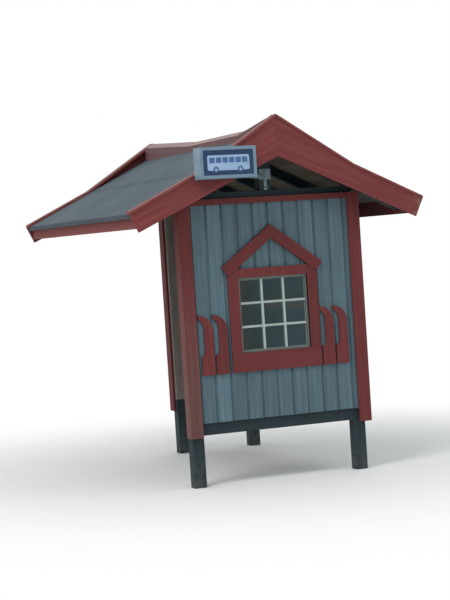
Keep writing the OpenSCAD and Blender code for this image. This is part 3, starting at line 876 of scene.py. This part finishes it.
def busPicture():  # a plain bus in side view, the usual sign for a stop
    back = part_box("sign_face")[0].y
    caseLow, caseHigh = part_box("sign_case")
    rim = 2 * sign["rimMm"] / 1000
    middle = (caseLow + caseHigh) / 2
    long = (caseHigh.x - caseLow.x - rim) * sign["busLong"]
    tall = (caseHigh.z - caseLow.z - rim) * sign["busHigh"]
    left, base = middle.x - long / 2, middle.z - tall / 2 - sign["busLowMm"] / 1000
    front = back - sign["raiseMm"] / 1000
    top = front - sign["layerMm"] / 1000
    over = top - sign["layerMm"] / 1000
    body = (left, base + tall * sign["foot"], left + long, base + tall)
    vinyl = [roundedShape(*body, tall * sign["round"], front, back)]
    cuts = []
    step = long * sign["rowLong"] / sign["windows"]
    low, high = (base + tall * share for share in sign["windowSpan"])
    for i in range(sign["windows"]):
        x = left + long * sign["rowFrom"] + i * step
        gap = step * sign["windowGap"]
        corner = sign["windowRoundMm"] / 1000
        cuts.append(roundedShape(x + gap, low, x + step - gap, high, corner, top, front))
    r = tall * sign["wheel"]
    hub = r * sign["hub"]
    foot, hubFoot = base + tall * sign["wheelFoot"], base + tall * sign["hubFoot"]
    for share in sign["wheelsAt"]:
        x = left + long * share
        cuts.append(roundedShape(x - r, foot, x + r, foot + 2 * r, r * sign["wheelRound"], top, front))
        disc = (x - hub, hubFoot, x + hub, hubFoot + 2 * hub)
        vinyl.append(roundedShape(*disc, r * sign["hubRound"], over, top))
    settle(joinSolids("sign_bus_shape", vinyl, paleVinyl), "sign_case")
    settle(joinSolids("sign_bus_windows", cuts, midVinyl), "sign_face")


def makeSign():
    dressPart("sign_case", shadedCaseCoat, "sign_case", edgeMm=1.2, wood=False)
    dressPart("sign_face", blueEnamel, "sign_face", edgeMm=0.5, wood=False)
    dressPart("sign_arm", greyCoat, "arm_steel", edgeMm=1.5, wood=False)
    busPicture()


makeSign()
print("sign made")


# Nails, clouts, screws and bolts

headSizes = {
    "nail": {"wideMm": 7, "domeMm": 1.2},
    "clout": {"wideMm": 10, "domeMm": 2.2, "sunkMm": 2.6},
    "screw": {"wideMm": 8, "domeMm": 1.6},
    "bolt": {"wideMm": 13, "domeMm": 5.5, "sides": 6, "taper": 1},
}
farAway = 4  # metres from a part, where the lines start that look for its face
surfaces = {}


def surfaceHit(node, start, direction):  # where a line meets a node, and which way the face there looks
    if node not in surfaces:
        mesh = nodes[node].data
        corners = [v.co for v in mesh.vertices]
        surfaces[node] = BVHTree.FromPolygons(corners, [p.vertices for p in mesh.polygons])
    return surfaces[node].ray_cast(start, direction)[:2]


def driven(node, direction, places):  # fixings driven along a direction into a node
    hits = [surfaceHit(node, Vector(place) - direction * farAway, direction) for place in places]
    return [hit for hit in hits if hit[0]]


def spread(node, axis, lowMm, highMm, count=2):  # even places along an axis between insets from the edges
    low, high = (corner[axis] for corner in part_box(node))
    start, end = low + lowMm / 1000, high - highMm / 1000
    return [start + (end - start) * k / (count - 1) for k in range(count)]


def midHeights(node, x, y, marginMm):  # two heights inside a node's lower and upper edge at one place
    low = surfaceHit(node, Vector((x, y, 0)), upZ)[0]
    high = surfaceHit(node, Vector((x, y, farAway)), -upZ)[0]
    if not low or not high:
        return []
    return [low.z + marginMm / 1000, high.z - marginMm / 1000]


def headSolid(point, normal, wideMm, domeMm, sides=8, taper=1.8, sunkMm=0.0):
    solid = bmesh.new()
    turn = normal.to_track_quat("Z", "Y").to_matrix().to_4x4()
    dome = domeMm / 1000
    base = point - normal * sunkMm / 1000
    bmesh.ops.create_cone(
        solid, cap_ends=True, segments=sides,
        radius1=wideMm / 2000, radius2=wideMm / 2000 / taper, depth=dome,
        matrix=Matrix.Translation(base + normal * dome * 0.5) @ turn,
    )
    solid.faces.layers.float.new("edge")
    mapGrain(solid, normal.orthogonal(), 0)
    return solid


def heads(kind, hits):
    return [headSolid(*hit, **headSizes[kind]) for hit in hits]


def headPiece(name, solids, material):
    piece = joinSolids(name, solids, material)
    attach(piece, "root")


nailing = {  # in metres
    "aside": 0.03,  # from a wall board's middle to each of its two nails
    "overWindow": 1.587,
    "farFrom": 0.03,  # a corner board covers the far wall up to here
    "capX": (0.1, 0.42, 0.74, 1.06),
    "casingZ": (1.03, 1.27, 1.5), "lintelX": (-0.2, 0.0, 0.2), "lintelZ": 1.588,
    "hoodX": (-0.34, -0.12, 0.12, 0.34), "hoodOut": 0.01,
    "picketsUp": (0.04, 0.3),  # over the foot of the band
    "nearTopX": (-0.5, -0.25, 0.0, 0.25, 0.5), "farTopX": (0.2, 0.45),
}


def boardNails():
    pitch, aside = boarding["pitchMm"] / 1000, nailing["aside"]
    foot, top = spread("wall_near", 2, 16, 22)
    rows = (foot, spread("wall_rails", 2, 35, 35)[0], top)
    found = []
    for k in range(-12, 20):  # more boards than any wall has, counted from its first groove
        for shift in (-aside, aside):
            near, back, far = (first + (k + 0.5) * pitch + shift for first in grooveStart.values())
            found += driven("wall_near", alongY, [(near, 0, z) for z in (foot, nailing["overWindow"])])
            if -far > nailing["farFrom"]:
                found += driven("wall_far", -alongY, [(-far, 0, z) for z in rows])
            found += driven("wall_back", -acrossX, [(0, back, z) for z in rows])
    return found


def cornerNails():
    found = []
    for name, outX, outY in (("corner_near_front", -1, -1), ("corner_near_back", 1, -1),
                             ("corner_far_back", 1, 1), ("corner_far_middle", -1, 1)):
        xs, zs = spread(name, 0, 22, 22), spread(name, 2, 60, 80, 5)
        ys = spread(name, 1, 40, 20) if outY < 0 else spread(name, 1, 20, 40)
        found += driven(name, -outY * alongY, [(x, 0, z) for z in zs for x in xs])
        found += driven(name, -outX * acrossX, [(0, y, z) for z in zs for y in ys])
    return found


def roofTrimNails():
    found = []
    for name in trim["rakes"]:
        low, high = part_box(name)
        inset = 60 * (high.x - low.x)  # 6% of the rake's run
        for x in spread(name, 0, inset, inset, 6):
            zs = midHeights(name, x, (low.y + high.y) / 2, 30)
            found += driven(name, alongY if low.y < 0 else -alongY, [(x, 0, z) for z in zs])
    for name in trim["caps"]:
        y = spread(name, 1, 50, 50)[0]
        found += driven(name, -upZ, [(side * x, y, 0) for side in (-1, 1) for x in nailing["capX"]])
    xs, ys = spread("ridge_boards", 0, 30, 30), spread("ridge_boards", 1, 120, 139, 8)
    found += driven("ridge_boards", -upZ, [(x, y, 0) for y in ys for x in xs])
    for name, out in zip(trim["fascias"], (-1, 1)):
        ys, zs = spread(name, 1, 50, 50, 5), spread(name, 2, 25, 45)
        found += driven(name, -out * acrossX, [(0, y, z) for y in ys for z in zs])
    return found


def windowTrimNails():
    xs, zs = spread("window_band", 0, 37.5, 37.5, 4), spread("window_band", 2, 30, 30)
    found = driven("window_band", alongY, [(x, 0, z) for x in xs for z in zs])
    xs = spread("window_casing", 0, 42.5, 42.5)
    found += driven("window_casing", alongY, [(x, 0, z) for x in xs for z in nailing["casingZ"]])
    found += driven("window_casing", alongY, [(x, 0, nailing["lintelZ"]) for x in nailing["lintelX"]])
    for x in nailing["hoodX"]:
        zs = midHeights("window_hood", x, nearLow.y - nailing["hoodOut"], 28)
        found += driven("window_hood", alongY, [(x, 0, z) for z in zs])
    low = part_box("window_band")[0].z
    for solid in looseSolids(nodes["pickets"].data):
        middle = (min(v.co.x for v in solid.verts) + max(v.co.x for v in solid.verts)) / 2
        found += driven("pickets", alongY, [(middle, 0, low + up) for up in nailing["picketsUp"]])
        solid.free()
    top = spread("wall_near", 2, 22, 22)[1]
    found += driven("top_bands", alongY, [(x, 0, top) for x in nailing["nearTopX"]])
    found += driven("top_bands", -alongY, [(x, 0, top) for x in nailing["farTopX"]])
    return found


def feltClouts():
    endMm, apartMm = 120, 100
    count = int((1000 * (feltHigh.y - feltLow.y) - 2 * endMm) / apartMm)
    ys = spread("felt", 1, endMm, endMm, count + 1)
    xs = [x - 0.02 for x in (feltHigh.x, lapX)]  # 20 mm up from the eave and from the lap
    return driven("felt", -upZ, [(x * side, y, 0) for side in (-1, 1) for x in xs for y in ys])


def signFixings():
    y = spread("sign_case", 1, 40, 40)[1]
    sides = [(0, y, z) for z in spread("sign_case", 2, 45, 45)]
    screws = driven("sign_case", acrossX, sides) + driven("sign_case", -acrossX, sides)
    x = spread("sign_arm", 0, 0, 47.5)[1]
    bolts = driven("sign_arm", alongY, [(x, 0, z) for z in spread("sign_arm", 2, 20, 20)])
    return screws, bolts


def driveFixings():
    headPiece("wall_board_nails", heads("nail", boardNails()), boardTimber)
    wallTrimNails = cornerNails() + windowTrimNails()
    headPiece("wall_trim_nails", heads("nail", wallTrimNails), wallRedTimber)
    headPiece("roof_trim_nails", heads("nail", roofTrimNails()), redTimber)
    headPiece("felt_clouts", heads("clout", feltClouts()), zinc)
    screws, bolts = signFixings()
    headPiece("sign_screws_and_bolts", heads("screw", screws) + heads("bolt", bolts), zinc)


driveFixings()
print("fixings driven")


# Light, floor and camera

studio = {
    "skyStrength": 0.85, "skyColour": (0.93, 0.97, 1.0, 1),
    "keyPower": 430, "keySize": 4.0, "keyPlace": (-6.0, -5.0, 9.0),
    "fillPower": 60, "fillSize": 5.0, "fillPlace": (7.0, -7.0, 3.5),
    "lightAim": (0.0, 0.0, 1.2),
    "floorColour": "#ebebe8", "floorRadius": 60,
    "gritMm": 300, "gritting": {1: 0.3, 2: 0.7, 3: 0.98, 4: 1.0},
    "floorNear": 1.6, "floorFar": 5.0,  # where the floor starts and ends to turn into the white backdrop
}


def softLight(name):
    data = bpy.data.lights.new(name, "AREA")
    data.shape = "DISK"
    data.size, data.energy = studio[name + "Size"], studio[name + "Power"]
    light = newObject(name, data)
    light.location = studio[name + "Place"]
    aim = Vector(studio["lightAim"]) - light.location
    light.rotation_euler = aim.to_track_quat("-Z", "Y").to_euler()


def seenStraight(add):  # 1 where the eye, a gloss or the glass sees the backdrop, 0 where it only lights
    straight = 0
    for ray in ("Camera", "Glossy", "Transmission"):
        seen = add("LightPath", {}, {}, f"Is {ray} Ray")
        straight = add("Math", {"operation": "MAXIMUM"}, {0: straight, 1: seen})
    return straight


def makeSky():
    world = bpy.data.worlds.new("studio")
    bpy.context.scene.world = world
    world.use_nodes = True
    add = partial(addNode, world.node_tree)
    straight = seenStraight(add)
    tint = add("Mix", coloured, {0: straight, 6: studio["skyColour"], 7: (1, 1, 1, 1)}, 2)
    level = add("MapRange", {}, {0: straight, 3: studio["skyStrength"], 4: 1.0})
    feed(world.node_tree.nodes["Background"], {"Color": tint, "Strength": level})


def floorFinish():
    material, add, skin, place = newMaterial("pale studio floor", {"Roughness": 0.9})
    radius = add("VectorMath", {"operation": "LENGTH"}, {0: place}, "Value")
    away = add("MapRange", soft, {0: radius, 1: studio["floorNear"], 2: studio["floorFar"]})
    grit = add("TexNoise", {}, blotches(place, studio["gritMm"], 3))
    level = add("MapRange", soft, {0: grit, **studio["gritting"]})
    tone = add("HueSaturation", {}, {"Value": level, "Color": studio["floorColour"]})
    feed(skin, {"Base Color": tone})
    white = add("Emission", {}, {"Color": (1, 1, 1, 1), "Strength": 1.0})
    amount = add("Math", multiply, {0: away, 1: seenStraight(add)})
    surface = add("MixShader", {}, {0: amount, 1: skin.outputs[0], 2: white})
    feed(material.node_tree.nodes["Material Output"], {"Surface": surface})
    return material


def makeFloor():
    mesh = bpy.data.meshes.new("floor")
    build = bmesh.new()
    bmesh.ops.create_circle(build, cap_ends=True, segments=64, radius=studio["floorRadius"])
    build.to_mesh(mesh)
    build.free()
    mesh.materials.append(floorFinish())
    newObject("floor", mesh)


softLight("key")
softLight("fill")
makeSky()
makeFloor()
print("studio lit")


# The photograph's camera: its place, heading, downward pitch and roll, in degrees. The lens is
# longer, so that the shelter fills the frame, and the camera turns straight to the shelter.
view = {
    "place": (-5.092, -12.969, 1.8),
    "heading": 23.37, "pitch": 7.16, "roll": 3.54,
    "lens": 102.0, "clipEnd": 200,
    "aim": (0.0, -0.1, 1.36),
}


def photoCamera():
    heading, pitch, roll = (math.radians(view[k]) for k in ("heading", "pitch", "roll"))
    stance = Euler((math.pi / 2 - pitch, 0, -heading)).to_quaternion() @ Quaternion(upZ, -roll)
    turn = (stance @ -upZ).rotation_difference(Vector(view["aim"]) - Vector(view["place"]))
    data = bpy.data.cameras.new("photo camera")
    data.lens = view["lens"]
    data.clip_end = view["clipEnd"]
    camera = newObject("photo camera", data)
    camera.rotation_mode = "QUATERNION"
    camera.rotation_quaternion = turn @ stance
    camera.location = view["place"]
    bpy.context.scene.camera = camera


photoCamera()
bpy.context.scene.view_settings.view_transform = "Standard"

print("scene ready")
